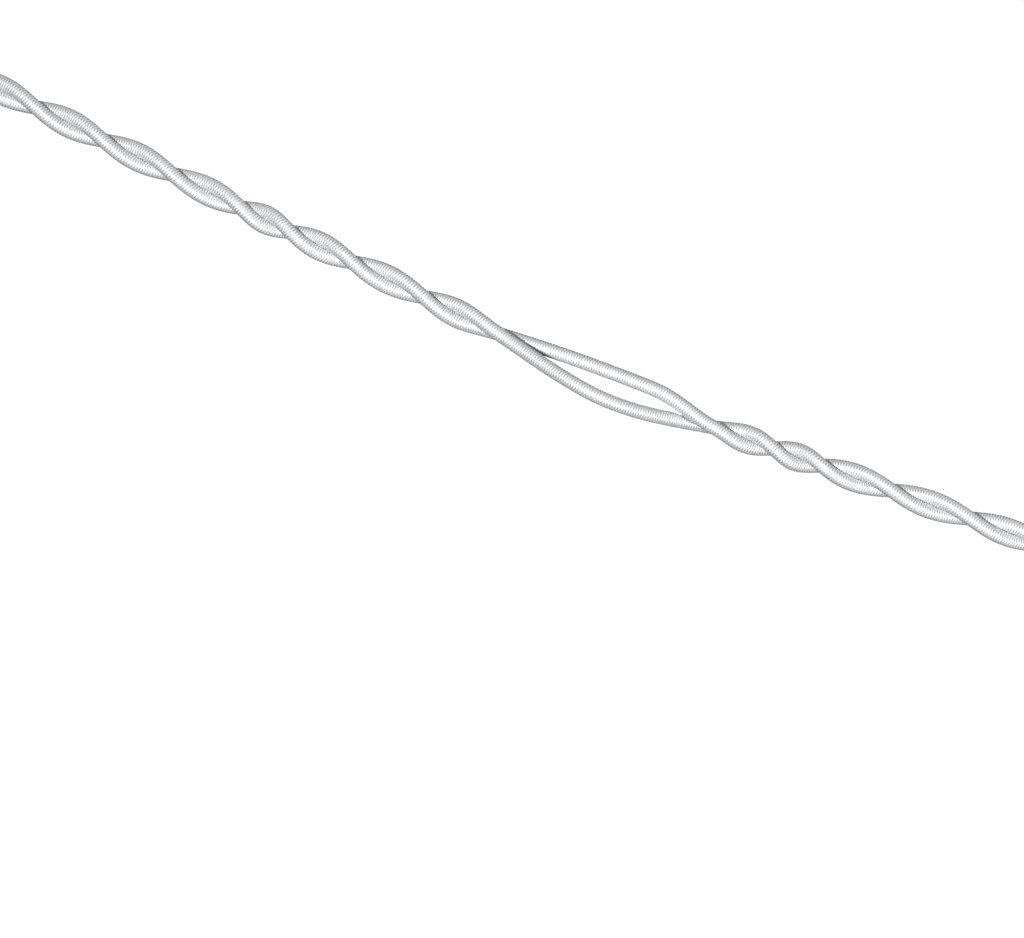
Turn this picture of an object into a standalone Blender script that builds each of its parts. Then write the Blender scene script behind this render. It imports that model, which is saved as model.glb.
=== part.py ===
"""Pegless travel clothesline: two elastic cords laid round each other, with a snap hook and a suction cup at each end.

Metres, +Z up. The line runs along X and its middle is at the origin. Cloth is gripped between the two cords, so
one stretch of them stands open. Each end piece is modelled looking outwards along +X from the mouth of its cap,
and an empty at that mouth puts it on its side.
"""

import math

import bmesh
import bpy

MM = 0.001

# The line
HALF_LINE = 139.2 * MM  # from the middle to the mouth of either cap
CORD_DIAMETER = 3.0 * MM
SHEATH_WALL = 0.35 * MM
LAY_GAP = 0.27 * MM  # from the pair's axis to the skin of either cord
DIP_DEPTH = 7.4 * MM  # how far the pair's axis is pulled down
PARTED_FORWARD = 6.0 * MM  # how far cord A stands off the lay at the open stretch, towards -Y
PARTED_DOWN = 1.4 * MM
PARTED_AT = 0.5  # where that is greatest, as a share of the open stretch
RAISED = 1.9 * MM  # how far cord B stands above the lay at the open stretch
RAISED_AT = 0.72
CORD_IN_CAP = 11.9 * MM
STRAIGHT_AT_MOUTH = 3.2 * MM  # the cords lie side by side this far before the mouth

# Where the two cords cross, as shares of HALF_LINE. Cord A gains half a turn from each to the next.
CROSSINGS = (
    -0.873, -0.763, -0.653, -0.540, -0.429, -0.348, -0.247, -0.131, -0.010,
    0.334, 0.428, 0.503, 0.611, 0.733, 0.852,
)  # fmt: skip
OPEN_AFTER = -0.010  # the crossing before the open stretch
DIP_SHARE = 0.201
STEPS_PER_HALF_TURN = 4
STEPS_WHEN_OPEN = 14

# The cap, its plug and the crimp inside
CAP_LENGTH = 22.0 * MM
CAP_RADIUS = 7.0 * MM
CAP_MOUTH_WALL = 1.05 * MM
CAP_NOSE = 7.0 * MM  # length of the rounded nose
CAP_WALL = 1.8 * MM
PLUG_BORE_WALL = 1.3 * MM
PLUG_FROM = 15.0 * MM
PLUG_FLANGE = 1.7 * MM
CRIMP_FROM = 4.6 * MM
CRIMP_LENGTH = 6.0 * MM
CRIMP_WALL = 0.9 * MM

# The snap hook
STEM_RADIUS = 1.8 * MM
STEM_HEAD_RADIUS = 3.4 * MM
STEM_HEAD_LENGTH = 1.6 * MM
COLLAR_RADIUS = 3.7 * MM
COLLAR_LENGTH = 1.6 * MM
HOOK_BAR = 4.4 * MM  # diameter of the bar
HOOK_HALF_WIDTH = 7.0 * MM  # to the bar's centre
GATE_BAR = 4.6 * MM
GATE_LENGTH = 12.1 * MM  # from its pin to its free end
TONGUE = 1.8 * MM
TONGUE_REACH = 2.5 * MM  # of the nose into the gate
TONGUE_BELOW = 0.6 * MM  # the nose tongue's underside, below the gate's centre
PIN_RADIUS = 0.75 * MM
SPRING_WIRE = 0.4 * MM
SPRING_RADIUS = 0.85 * MM  # to the wire's centre
SPRING_LENGTH = 5.6 * MM
SPRING_TURNS = 6

# The suction cup and the eye that snaps on it
RING_TUBE = 1.35 * MM
EYE_RADIUS = 6.6 * MM
EYE_WALL = 2.0 * MM
CUP_HEAD_RADIUS = 4.2 * MM
CUP_HEAD_LENGTH = 2.6 * MM
CUP_NECK_RADIUS = 2.6 * MM
CUP_RADIUS = 20.0 * MM
CUP_DEPTH = 5.2 * MM  # from the neck's end to the wall
CUP_RIM = 3.0 * MM  # width of the flat ring that meets the wall
CUP_HOLLOW = 1.1 * MM

GAP = 0.3 * MM  # between pieces that touch on the real thing
TURN_GAP = 0.25 * MM  # round the gate's pin
FACET_GAP = 0.35 * MM  # a cord's core inside its sheath, both of eight sides

ROUND = 32
SMALL_ROUND = 20

# Worked out from the sizes above, as distances outwards from the cap's mouth
CORD_RADIUS = CORD_DIAMETER / 2
LAY_RADIUS = CORD_RADIUS + LAY_GAP
MOUTH_RADIUS = LAY_RADIUS + CORD_RADIUS + GAP + 0.05 * MM
CAVITY_RADIUS = CAP_RADIUS - CAP_WALL
PLUG_BORE = CAP_RADIUS - PLUG_BORE_WALL
STEM_HEAD_TO = PLUG_FROM - GAP
PLUG_TO = CAP_LENGTH + GAP + PLUG_FLANGE
COLLAR_FROM = PLUG_TO + GAP + 0.1 * MM
BAR_RADIUS = HOOK_BAR / 2
GATE_RADIUS = GATE_BAR / 2
GATE_END = GATE_RADIUS + 0.1 * MM
TONGUE_END = GATE_RADIUS - 0.4 * MM
NEAR_ARC = COLLAR_FROM + COLLAR_LENGTH + HOOK_HALF_WIDTH + BAR_RADIUS - 0.6 * MM
PIN_AT = NEAR_ARC + GATE_END + GAP
FAR_ARC = PIN_AT + GATE_LENGTH + GAP + 0.2 * MM
BOW_AT = FAR_ARC + HOOK_HALF_WIDTH
RING_HOLE = BAR_RADIUS + 0.7 * MM
RING_RADIUS = RING_HOLE + RING_TUBE
RING_AT = BOW_AT + 0.4 * MM
EYE_FROM = RING_AT + RING_RADIUS + RING_TUBE - 0.4 * MM
EYE_HOLLOW_FROM = EYE_FROM + EYE_WALL + 0.1 * MM
CUP_HEAD_FROM = EYE_HOLLOW_FROM + GAP
CUP_HEAD_TO = CUP_HEAD_FROM + CUP_HEAD_LENGTH
EYE_LIP_FROM = CUP_HEAD_TO + GAP
EYE_TO = EYE_LIP_FROM + 1.0 * MM
CUP_BACK = EYE_TO + GAP
WALL_AT = CUP_BACK + CUP_DEPTH


# ---------------------------------------------------------------- scene and materials


def clear_scene():
    for obj in list(bpy.data.objects):
        bpy.data.objects.remove(obj, do_unlink=True)


def new_collection(name):
    collection = bpy.data.collections.new(name)
    bpy.context.scene.collection.children.link(collection)
    return collection


def material(name, colour, roughness, metallic=0.0):
    mat = bpy.data.materials.new(name)
    mat.use_nodes = True
    shader = mat.node_tree.nodes["Principled BSDF"]
    shader.inputs["Base Color"].default_value = (*colour, 1.0)
    shader.inputs["Roughness"].default_value = roughness
    shader.inputs["Metallic"].default_value = metallic
    return mat


clear_scene()
PARTS = new_collection("pegless_clothesline")
CUTTERS = new_collection("cutters")

SHEATH = material("white_polyester_braid", (0.84, 0.84, 0.83), 0.75)
RUBBER = material("natural_rubber", (0.62, 0.52, 0.36), 0.6)
NYLON = material("white_nylon", (0.80, 0.80, 0.78), 0.38)
ALUMINIUM = material("crimped_aluminium", (0.78, 0.79, 0.80), 0.35, 1.0)
NICKEL = material("nickel_plated_zinc", (0.70, 0.69, 0.66), 0.22, 1.0)
STEEL = material("spring_steel", (0.56, 0.57, 0.58), 0.3, 1.0)
VINYL = material("soft_vinyl", (0.74, 0.80, 0.84), 0.15)


# ---------------------------------------------------------------- modelling tools


def add(name, data, mat=None, parent=None, at=(0, 0, 0), turned_by=(0, 0, 0)):
    """A new object in the parts, or in the hidden cutters when it has no material."""
    obj = bpy.data.objects.new(name, data)
    (PARTS if mat else CUTTERS).objects.link(obj)
    obj.parent = parent
    obj.location = at
    obj.rotation_euler = turned_by
    if mat:
        obj.data.materials.append(mat)
    else:
        obj.hide_render = True
        obj.display_type = "WIRE"
    return obj


def empty(name, parent=None, at=(0, 0, 0), turned_by=(0, 0, 0)):
    obj = bpy.data.objects.new(name, None)
    PARTS.objects.link(obj)
    obj.parent = parent
    obj.location = at
    obj.rotation_euler = turned_by
    obj.empty_display_size = 5 * MM
    return obj


def turned(name, profile, mat=None, parent=None, at=(0, 0, 0), steps=ROUND):
    """A profile of (radius, distance outwards) turned about X. Its outer side runs inwards, towards the mouth."""
    mesh = bpy.data.meshes.new(name)
    points = [(radius, 0.0, out) for radius, out in profile]
    edges = [(i, i + 1) for i in range(len(points) - 1)]
    if profile[0][0] > 0:
        edges.append((len(points) - 1, 0))
    mesh.from_pydata(points, edges, [])
    obj = add(name, mesh, mat, parent, at, (0, math.pi / 2, 0))
    screw = obj.modifiers.new("turn", "SCREW")
    screw.steps = steps
    screw.render_steps = steps
    screw.use_merge_vertices = True
    screw.merge_threshold = 1e-6
    screw.use_smooth_shade = True
    return obj


def tube(name, points, radius, mat=None, parent=None, at=(0, 0, 0), resolution=2, caps=True):
    curve = bpy.data.curves.new(name, "CURVE")
    curve.dimensions = "3D"
    spline = curve.splines.new("POLY")
    spline.points.add(len(points) - 1)
    for point, place in zip(spline.points, points):
        point.co = (*place, 1.0)
    curve.bevel_depth = radius
    curve.bevel_resolution = resolution
    curve.use_fill_caps = caps
    return add(name, curve, mat, parent, at)


def plate(name, outlines, thickness, mat=None, parent=None, at=(0, 0, 0), turned_by=(0, 0, 0)):
    """Closed outlines in the object's own XY plane, with half the thickness to either side."""
    curve = bpy.data.curves.new(name, "CURVE")
    curve.dimensions = "2D"
    curve.fill_mode = "BOTH"
    curve.extrude = thickness / 2
    for outline in outlines:
        spline = curve.splines.new("POLY")
        spline.points.add(len(outline) - 1)
        spline.use_cyclic_u = True
        for point, (x, y) in zip(spline.points, outline):
            point.co = (x, y, 0.0, 1.0)
    return add(name, curve, mat, parent, at, turned_by)


def block(name, low, high, parent=None, at=(0, 0, 0)):
    mesh = bpy.data.meshes.new(name)
    form = bmesh.new()
    bmesh.ops.create_cube(form, size=1.0)
    for vert in form.verts:
        vert.co = [a + (c + 0.5) * (b - a) for a, b, c in zip(low, high, vert.co)]
    form.to_mesh(mesh)
    form.free()
    return add(name, mesh, None, parent, at)


def rod(name, radius, length, parent=None, at=(0, 0, 0), turned_by=(0, 0, 0), mat=None, sides=SMALL_ROUND):
    """A cylinder along the object's own Z axis, about its middle."""
    mesh = bpy.data.meshes.new(name)
    form = bmesh.new()
    bmesh.ops.create_cone(
        form, cap_ends=True, segments=sides, radius1=radius, radius2=radius, depth=length
    )
    form.to_mesh(mesh)
    form.free()
    return add(name, mesh, mat, parent, at, turned_by)


def as_mesh(obj):
    """The same object as a mesh, with its caps welded. A curve can't be cut or cut with."""
    bpy.context.view_layer.update()
    graph = bpy.context.evaluated_depsgraph_get()
    mesh = bpy.data.meshes.new_from_object(obj.evaluated_get(graph))
    form = bmesh.new()
    form.from_mesh(mesh)
    bmesh.ops.remove_doubles(form, verts=form.verts, dist=1e-6)
    bmesh.ops.recalc_face_normals(form, faces=form.faces)
    form.to_mesh(mesh)
    form.free()
    name = obj.name
    place = obj.matrix_world.copy()
    parent = obj.parent
    mat = obj.data.materials[0] if obj.data.materials else None
    old_curve = obj.data
    bpy.data.objects.remove(obj, do_unlink=True)
    bpy.data.curves.remove(old_curve)
    mesh.materials.clear()
    made = add(name, mesh, mat, parent)
    bpy.context.view_layer.update()
    made.matrix_world = place
    return made


def combine(obj, other, operation):
    boolean = obj.modifiers.new(f"{operation.lower()} {other.name}", "BOOLEAN")
    boolean.solver = "EXACT"
    boolean.operation = operation
    boolean.object = other


def smooth(obj, angle=math.radians(35)):
    """Smooth shading over gentle edges only."""
    if obj.type != "MESH":
        return
    for face in obj.data.polygons:
        face.use_smooth = True
    obj.data.set_sharp_from_angle(angle=angle)


def arc(centre, radius, start, stop, steps):
    """Points of an arc in degrees, both ends among them."""
    turns = [math.radians(start + (stop - start) * i / steps) for i in range(steps + 1)]
    return [
        (centre[0] + radius * math.cos(turn), centre[1] + radius * math.sin(turn))
        for turn in turns
    ]


def stadium(half_length, radius, steps=8):
    """A slot's outline, long in X."""
    return arc((half_length, 0), radius, -90, 90, steps) + arc((-half_length, 0), radius, 90, 270, steps)


# ---------------------------------------------------------------- the two cords


def ramp(past, soft):
    """0 before a knee and the distance past it after, with the corner rounded over soft to either side."""
    if past <= -soft:
        return 0.0
    if past >= soft:
        return past
    return (past + soft) ** 2 / (4 * soft)


def axis_height(x):
    """Height of the pair's axis: level in the caps, and pulled down to the dip between them."""
    knee = HALF_LINE - STRAIGHT_AT_MOUTH
    dip = DIP_SHARE * HALF_LINE
    fall = DIP_DEPTH / (dip + knee)
    rise = DIP_DEPTH / (knee - dip)
    left = -fall * ramp(x + knee, 3 * MM)
    middle = (fall + rise) * ramp(x - dip, 9 * MM)
    right = -rise * ramp(x - knee, 3 * MM)
    return left + middle + right


def stations():
    """Crossings from cap to cap as (x, angle of cord A). At an angle of pi, cord A is at -Y."""
    straight = HALF_LINE - STRAIGHT_AT_MOUTH
    places = [-straight, *(share * HALF_LINE for share in CROSSINGS), straight]
    half_turns = 1 - (CROSSINGS.index(OPEN_AFTER) + 1)
    return [(x, math.pi * (i + half_turns)) for i, x in enumerate(places)]


def twist(x):
    """Angle of cord A about the axis: a smooth curve through the stations that never turns back."""
    known = stations()
    if x <= known[0][0]:
        return known[0][1]
    if x >= known[-1][0]:
        return known[-1][1]
    rates = [(b[1] - a[1]) / (b[0] - a[0]) for a, b in zip(known, known[1:])]
    inner = [2 * a * b / (a + b) for a, b in zip(rates, rates[1:])]
    slopes = [0.0, *inner, 0.0]
    i = max(k for k, station in enumerate(known[:-1]) if station[0] <= x)
    width = known[i + 1][0] - known[i][0]
    t = (x - known[i][0]) / width
    return (
        known[i][1] * (1 + 2 * t) * (1 - t) ** 2
        + slopes[i] * width * t * (1 - t) ** 2
        + known[i + 1][1] * t * t * (3 - 2 * t)
        + slopes[i + 1] * width * t * t * (t - 1)
    )


def parting(x, peak):
    """0 at both ends of the open stretch and 1 at its peak, a share of the stretch."""
    start = OPEN_AFTER * HALF_LINE
    stop = CROSSINGS[CROSSINGS.index(OPEN_AFTER) + 1] * HALF_LINE
    share = (x - start) / (stop - start)
    t = min(share / peak, (1 - share) / (1 - peak))
    t = min(max(t, 0.0), 1.0)
    return t * t * (3 - 2 * t)


def cord_point(x, side):
    """Centre of cord A (side 1) or cord B (side -1)."""
    turn = twist(x)
    y = side * LAY_RADIUS * math.cos(turn)
    z = axis_height(x) + side * LAY_RADIUS * math.sin(turn)
    if side < 0:
        return (x, y, z + parting(x, RAISED_AT) * RAISED)
    parted = parting(x, PARTED_AT)
    return (x, y - parted * PARTED_FORWARD, z - parted * PARTED_DOWN)


def cord_stations():
    """Where the cords' points lie along X: so many to each half turn, and a few in each cap."""
    places = [x for x, _ in stations()]
    start = OPEN_AFTER * HALF_LINE
    inside = HALF_LINE + CORD_IN_CAP
    found = [-inside, -(HALF_LINE + CRIMP_FROM)]
    for a, b in zip(places, places[1:]):
        steps = STEPS_WHEN_OPEN if a == start else STEPS_PER_HALF_TURN
        found += [a + (b - a) * i / steps for i in range(steps)]
    return [*found, places[-1], HALF_LINE + CRIMP_FROM, inside]


def make_cord(name, side):
    points = [cord_point(x, side) for x in cord_stations()]
    sheath = tube(f"{name}_sheath", points, CORD_RADIUS, SHEATH, caps=False)
    wall = sheath.modifiers.new("wall", "SOLIDIFY")
    wall.thickness = SHEATH_WALL
    wall.offset = -1.0
    core_radius = CORD_RADIUS - SHEATH_WALL - FACET_GAP
    tube(f"{name}_core", points, core_radius, RUBBER)


# ---------------------------------------------------------------- the cap, its plug and the crimp


def make_cap(side, end):
    nose = [
        (
            MOUTH_RADIUS + CAP_MOUTH_WALL + (CAP_RADIUS - MOUTH_RADIUS - CAP_MOUTH_WALL) * math.sin(turn),
            CAP_NOSE * (1 - math.cos(turn)),
        )
        for turn in (math.radians(a) for a in range(90, -1, -15))
    ]
    edge = 0.4 * MM
    throat = MOUTH_RADIUS + edge
    profile = [
        (PLUG_BORE, CAP_LENGTH),
        (CAP_RADIUS - edge, CAP_LENGTH),
        (CAP_RADIUS, CAP_LENGTH - edge),
        *nose,
        (throat, 0.0),
        (MOUTH_RADIUS, edge),
        (MOUTH_RADIUS, CRIMP_FROM - 2.4 * MM),
        (CAVITY_RADIUS, CRIMP_FROM - 0.7 * MM),
        (CAVITY_RADIUS, PLUG_FROM - GAP),
        (PLUG_BORE, PLUG_FROM - GAP),
    ]
    smooth(turned(f"{side}_cap", profile, NYLON, end))


def make_plug(side, end):
    outer = PLUG_BORE - GAP
    bore = STEM_RADIUS + GAP
    flange = CAP_RADIUS - 0.1 * MM
    edge = 0.4 * MM
    profile = [
        (bore, PLUG_TO),
        (flange - edge, PLUG_TO),
        (flange, PLUG_TO - edge),
        (flange, CAP_LENGTH + GAP),
        (outer, CAP_LENGTH + GAP),
        (outer, PLUG_FROM),
        (bore, PLUG_FROM),
    ]
    turned(f"{side}_cap_plug", profile, NYLON, end)


def make_crimp(side, end):
    """An oval sleeve round both cords, long in Y."""
    inner = CORD_RADIUS + GAP
    outlines = [stadium(LAY_RADIUS, inner + CRIMP_WALL), stadium(LAY_RADIUS, inner)]
    middle = CRIMP_FROM + CRIMP_LENGTH / 2
    crimp = plate(
        f"{side}_crimp", outlines, CRIMP_LENGTH, ALUMINIUM, end, (middle, 0, 0), (math.pi / 2, 0, math.pi / 2)
    )
    as_mesh(crimp)


# ---------------------------------------------------------------- the snap hook


def make_stem(side, swivel):
    """Button head, stem, collar and shank, which run into the near end of the bar."""
    shank = BAR_RADIUS + 0.5 * MM
    collar_to = COLLAR_FROM + COLLAR_LENGTH
    head_from = STEM_HEAD_TO - STEM_HEAD_LENGTH
    shank_to = NEAR_ARC - HOOK_HALF_WIDTH
    edge = 0.35 * MM
    profile = [
        (0.0, shank_to),
        (BAR_RADIUS - edge, shank_to),
        (shank, collar_to),
        (COLLAR_RADIUS - edge, collar_to),
        (COLLAR_RADIUS, collar_to - edge),
        (COLLAR_RADIUS, COLLAR_FROM + edge),
        (COLLAR_RADIUS - edge, COLLAR_FROM),
        (STEM_RADIUS, COLLAR_FROM),
        (STEM_RADIUS, STEM_HEAD_TO),
        (STEM_HEAD_RADIUS, STEM_HEAD_TO),
        (STEM_HEAD_RADIUS, head_from + edge),
        (STEM_HEAD_RADIUS - edge, head_from),
        (0.0, head_from),
    ]
    return turned(f"{side}_stem", profile, None, swivel, steps=24)


def make_hook(side, swivel):
    """The bar, open on its upper side for the gate, joined to the stem and to the two tongues."""
    far = arc((FAR_ARC, 0), HOOK_HALF_WIDTH, 90, -90, 12)
    near = arc((NEAR_ARC, 0), HOOK_HALF_WIDTH, 270, 90, 12)
    route = [(x, 0.0, z) for x, z in far + near]
    hook = as_mesh(tube(f"{side}_hook", route, BAR_RADIUS, NICKEL, swivel, resolution=4))
    hinge = [
        (-GATE_END - GAP - 1.2 * MM, -TONGUE_END),
        *arc((0, 0), TONGUE_END, -90, 90, 10),
        (-GATE_END - GAP - 1.2 * MM, TONGUE_END),
    ]
    lug = plate(
        f"{side}_lug", [hinge], TONGUE, None, swivel, (PIN_AT, 0, HOOK_HALF_WIDTH), (math.pi / 2, 0, 0)
    )
    nose_to = FAR_ARC + 0.6 * MM
    nose_from = PIN_AT + GATE_LENGTH - TONGUE_REACH
    nose_top = math.sqrt(BAR_RADIUS**2 - (TONGUE / 2) ** 2) - 0.06 * MM
    nose = block(
        f"{side}_nose",
        (nose_from, -TONGUE / 2, HOOK_HALF_WIDTH - TONGUE_BELOW),
        (nose_to, TONGUE / 2, HOOK_HALF_WIDTH + nose_top),
        swivel,
    )
    hole = pin_hole(f"{side}_lug_hole", swivel, (PIN_AT, 0, HOOK_HALF_WIDTH))
    combine(hook, make_stem(side, swivel), "UNION")
    combine(hook, as_mesh(lug), "UNION")
    combine(hook, nose, "UNION")
    combine(hook, hole, "DIFFERENCE")
    smooth(hook)


def pin_hole(name, parent, at):
    return rod(name, PIN_RADIUS + TURN_GAP, 3 * GATE_BAR, parent, at, (math.pi / 2, 0, 0))


def make_gate(side, hinge):
    """A round bar, rounded about its pin, with a slot for the tongue at each end and a bore for its spring."""
    outline = [
        *arc((0, 0), GATE_END, 90, 270, 12),
        (GATE_LENGTH, -GATE_END),
        (GATE_LENGTH, GATE_END),
    ]
    gate = as_mesh(
        plate(f"{side}_gate", [outline], 2 * GATE_BAR, NICKEL, hinge, turned_by=(math.pi / 2, 0, 0))
    )
    round_bar = rod(f"{side}_gate_round", GATE_RADIUS, 40 * MM, hinge, turned_by=(0, math.pi / 2, 0), sides=24)
    combine(gate, round_bar, "INTERSECT")
    half_slot = TONGUE / 2 + GAP
    slot_end = TONGUE_END + GAP
    high = 2 * GATE_RADIUS
    hinge_slot = block(
        f"{side}_hinge_slot", (-high, -half_slot, -high), (slot_end, half_slot, high), hinge
    )
    nose_slot = block(
        f"{side}_nose_slot",
        (GATE_LENGTH - TONGUE_REACH - 0.4 * MM, -half_slot, -TONGUE_BELOW - GAP),
        (GATE_LENGTH + high, half_slot, high),
        hinge,
    )
    bore_to = slot_end + GAP + SPRING_LENGTH
    bore = rod(
        f"{side}_spring_bore",
        SPRING_RADIUS + SPRING_WIRE / 2 + GAP,
        bore_to,
        hinge,
        (bore_to / 2, 0, 0),
        (0, math.pi / 2, 0),
        sides=16,
    )
    combine(gate, hinge_slot, "DIFFERENCE")
    combine(gate, nose_slot, "DIFFERENCE")
    combine(gate, bore, "DIFFERENCE")
    combine(gate, pin_hole(f"{side}_gate_hole", hinge, (0, 0, 0)), "DIFFERENCE")
    smooth(gate)


def make_gate_pin(side, swivel):
    at = (PIN_AT, 0, HOOK_HALF_WIDTH)
    length = GATE_BAR - 0.4 * MM
    smooth(rod(f"{side}_gate_pin", PIN_RADIUS, length, swivel, at, (math.pi / 2, 0, 0), STEEL, 16))


def make_gate_spring(side, hinge):
    start = TONGUE_END + GAP + SPRING_WIRE / 2
    travel = SPRING_LENGTH - SPRING_WIRE
    steps = SPRING_TURNS * 10
    route = []
    for i in range(steps + 1):
        turn = 2 * math.pi * SPRING_TURNS * i / steps
        along = start + travel * i / steps
        route.append((along, SPRING_RADIUS * math.cos(turn), SPRING_RADIUS * math.sin(turn)))
    tube(f"{side}_gate_spring", route, SPRING_WIRE / 2, STEEL, hinge, resolution=1)


# ---------------------------------------------------------------- the suction cup and its eye


def make_cup_eye(side, hinge):
    """A ring round the hook's bow, joined to a hollow button that snaps over the cup's head."""
    edge = 0.4 * MM
    lip = CUP_NECK_RADIUS + 0.4 * MM
    hollow = CUP_HEAD_RADIUS + 0.4 * MM
    profile = [
        (0.0, EYE_HOLLOW_FROM),
        (hollow, EYE_HOLLOW_FROM),
        (hollow, EYE_LIP_FROM),
        (lip, EYE_LIP_FROM),
        (lip, EYE_TO),
        (EYE_RADIUS - edge, EYE_TO),
        (EYE_RADIUS, EYE_TO - edge),
        (EYE_RADIUS, EYE_FROM + 2.2 * MM),
        (EYE_RADIUS - 0.9 * MM, EYE_FROM + 0.9 * MM),
        (EYE_RADIUS - 3.0 * MM, EYE_FROM),
        (0.0, EYE_FROM),
    ]
    eye = turned(f"{side}_cup_eye", [(r, out - BOW_AT) for r, out in profile], NYLON, hinge)
    mesh = bpy.data.meshes.new(f"{side}_ring")
    fill_ring(mesh, RING_RADIUS, RING_TUBE)
    ring = add(f"{side}_ring", mesh, None, hinge, (RING_AT - BOW_AT, 0, 0))
    neck_from = RING_AT + RING_HOLE + 0.5 * MM
    neck_to = EYE_FROM + 0.6 * MM
    neck = rod(
        f"{side}_neck",
        2.3 * MM,
        neck_to - neck_from,
        hinge,
        ((neck_from + neck_to) / 2 - BOW_AT, 0, 0),
        (0, math.pi / 2, 0),
    )
    combine(eye, neck, "UNION")
    combine(eye, ring, "UNION")


def fill_ring(mesh, radius, thick, around=32, across=12):
    """Fills the mesh with a ring about Z, spun from a circle."""
    form = bmesh.new()
    made = bmesh.ops.create_circle(form, segments=across, radius=thick)
    for vert in made["verts"]:
        vert.co = (radius + vert.co.x, 0.0, vert.co.y)
    bmesh.ops.spin(
        form,
        geom=form.verts[:] + form.edges[:],
        cent=(0, 0, 0),
        axis=(0, 0, 1),
        angle=2 * math.pi,
        steps=around,
        use_merge=True,
    )
    bmesh.ops.remove_doubles(form, verts=form.verts, dist=1e-6)
    bmesh.ops.recalc_face_normals(form, faces=form.faces)
    form.to_mesh(mesh)
    form.free()


def make_cup(side, hinge):
    """Head, neck and a shallow dish, hollow towards the wall, with a flat ring where it meets it."""
    flat_from = CUP_RADIUS - CUP_RIM
    profile = [
        (0.0, WALL_AT - CUP_HOLLOW),
        (0.45 * flat_from, WALL_AT - 0.82 * CUP_HOLLOW),
        (0.82 * flat_from, WALL_AT - 0.27 * CUP_HOLLOW),
        (flat_from, WALL_AT),
        (CUP_RADIUS, WALL_AT),
        (CUP_RADIUS, WALL_AT - 0.3 * MM),
        (0.85 * CUP_RADIUS, WALL_AT - 0.30 * CUP_DEPTH),
        (0.65 * CUP_RADIUS, WALL_AT - 0.56 * CUP_DEPTH),
        (0.42 * CUP_RADIUS, WALL_AT - 0.80 * CUP_DEPTH),
        (0.24 * CUP_RADIUS, WALL_AT - 0.95 * CUP_DEPTH),
        (CUP_NECK_RADIUS, CUP_BACK - 0.1 * MM),
        (CUP_NECK_RADIUS, CUP_HEAD_TO),
        (CUP_HEAD_RADIUS - 0.6 * MM, CUP_HEAD_TO),
        (CUP_HEAD_RADIUS, CUP_HEAD_TO - 0.5 * MM),
        (CUP_HEAD_RADIUS, CUP_HEAD_FROM + 0.8 * MM),
        (CUP_HEAD_RADIUS - 1.2 * MM, CUP_HEAD_FROM),
        (0.0, CUP_HEAD_FROM),
    ]
    smooth(turned(f"{side}_suction_cup", [(r, out - BOW_AT) for r, out in profile], VINYL, hinge))


def make_end(side, outwards):
    """All the pieces of one end. outwards is 1 at +X and -1 at -X."""
    end = empty(f"{side}_end", at=(outwards * HALF_LINE, 0, 0), turned_by=(0, 0, 0 if outwards > 0 else math.pi))
    swivel = empty(f"{side}_swivel", end)
    gate_hinge = empty(f"{side}_gate_hinge", swivel, (PIN_AT, 0, HOOK_HALF_WIDTH))
    cup_hinge = empty(f"{side}_cup_hinge", swivel, (BOW_AT, 0, 0))
    make_cap(side, end)
    make_plug(side, end)
    make_crimp(side, end)
    make_hook(side, swivel)
    make_gate(side, gate_hinge)
    make_gate_pin(side, swivel)
    make_gate_spring(side, gate_hinge)
    make_cup_eye(side, cup_hinge)
    make_cup(side, cup_hinge)


make_cord("cord_a", 1)
make_cord("cord_b", -1)
make_end("right", 1)
make_end("left", -1)
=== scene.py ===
"""The looks of a pegless travel clothesline.

Two white braided elastic cords are laid round each other. At each end they have a cap, a snap hook and a
suction cup. Metres, +Z up, in the CAD's own frame.
"""

import math

import bmesh
import bpy
import numpy as np
from mathutils import Matrix, Vector


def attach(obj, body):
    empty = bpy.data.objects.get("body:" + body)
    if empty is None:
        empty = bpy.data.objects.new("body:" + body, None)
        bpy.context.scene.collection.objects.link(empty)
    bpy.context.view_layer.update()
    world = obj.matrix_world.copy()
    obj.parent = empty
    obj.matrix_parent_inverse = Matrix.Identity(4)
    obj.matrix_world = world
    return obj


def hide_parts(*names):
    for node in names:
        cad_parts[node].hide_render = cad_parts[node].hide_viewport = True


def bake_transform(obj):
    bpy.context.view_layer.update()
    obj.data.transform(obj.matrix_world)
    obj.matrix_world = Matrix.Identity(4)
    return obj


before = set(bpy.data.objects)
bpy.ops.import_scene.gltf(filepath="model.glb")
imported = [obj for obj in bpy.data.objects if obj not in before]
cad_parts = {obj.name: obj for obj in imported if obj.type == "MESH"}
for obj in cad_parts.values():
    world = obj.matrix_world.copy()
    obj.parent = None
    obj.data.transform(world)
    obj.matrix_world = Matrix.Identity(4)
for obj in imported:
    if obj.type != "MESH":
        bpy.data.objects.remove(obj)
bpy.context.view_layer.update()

MM = 0.001
TURN = 2 * math.pi

# The line, as in the CAD
HALF_LINE = 139.2 * MM
CORD_DIAMETER = 3.0 * MM
LAY_RADIUS = 1.46 * MM  # the cords press on each other, where the CAD's stand a little apart
DIP_DEPTH = 7.4 * MM
PARTED_FORWARD = 6.0 * MM
PARTED_DOWN = 1.4 * MM
PARTED_AT = 0.5
RAISED = 1.9 * MM
RAISED_AT = 0.72
CORD_IN_CAP = 11.9 * MM
STRAIGHT_AT_MOUTH = 3.2 * MM
CROSSINGS = (
    -0.873, -0.763, -0.653, -0.540, -0.429, -0.348, -0.247, -0.131, -0.010,
    0.334, 0.428, 0.503, 0.611, 0.733, 0.852,
)  # fmt: skip
OPEN_AFTER = -0.010  # the crossings to either side of the open stretch
OPEN_BEFORE = 0.334
DIP_SHARE = 0.201
DIP_SOFT = 9.0 * MM  # how far to either side the bend at the dip, or at a mouth, is rounded
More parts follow.
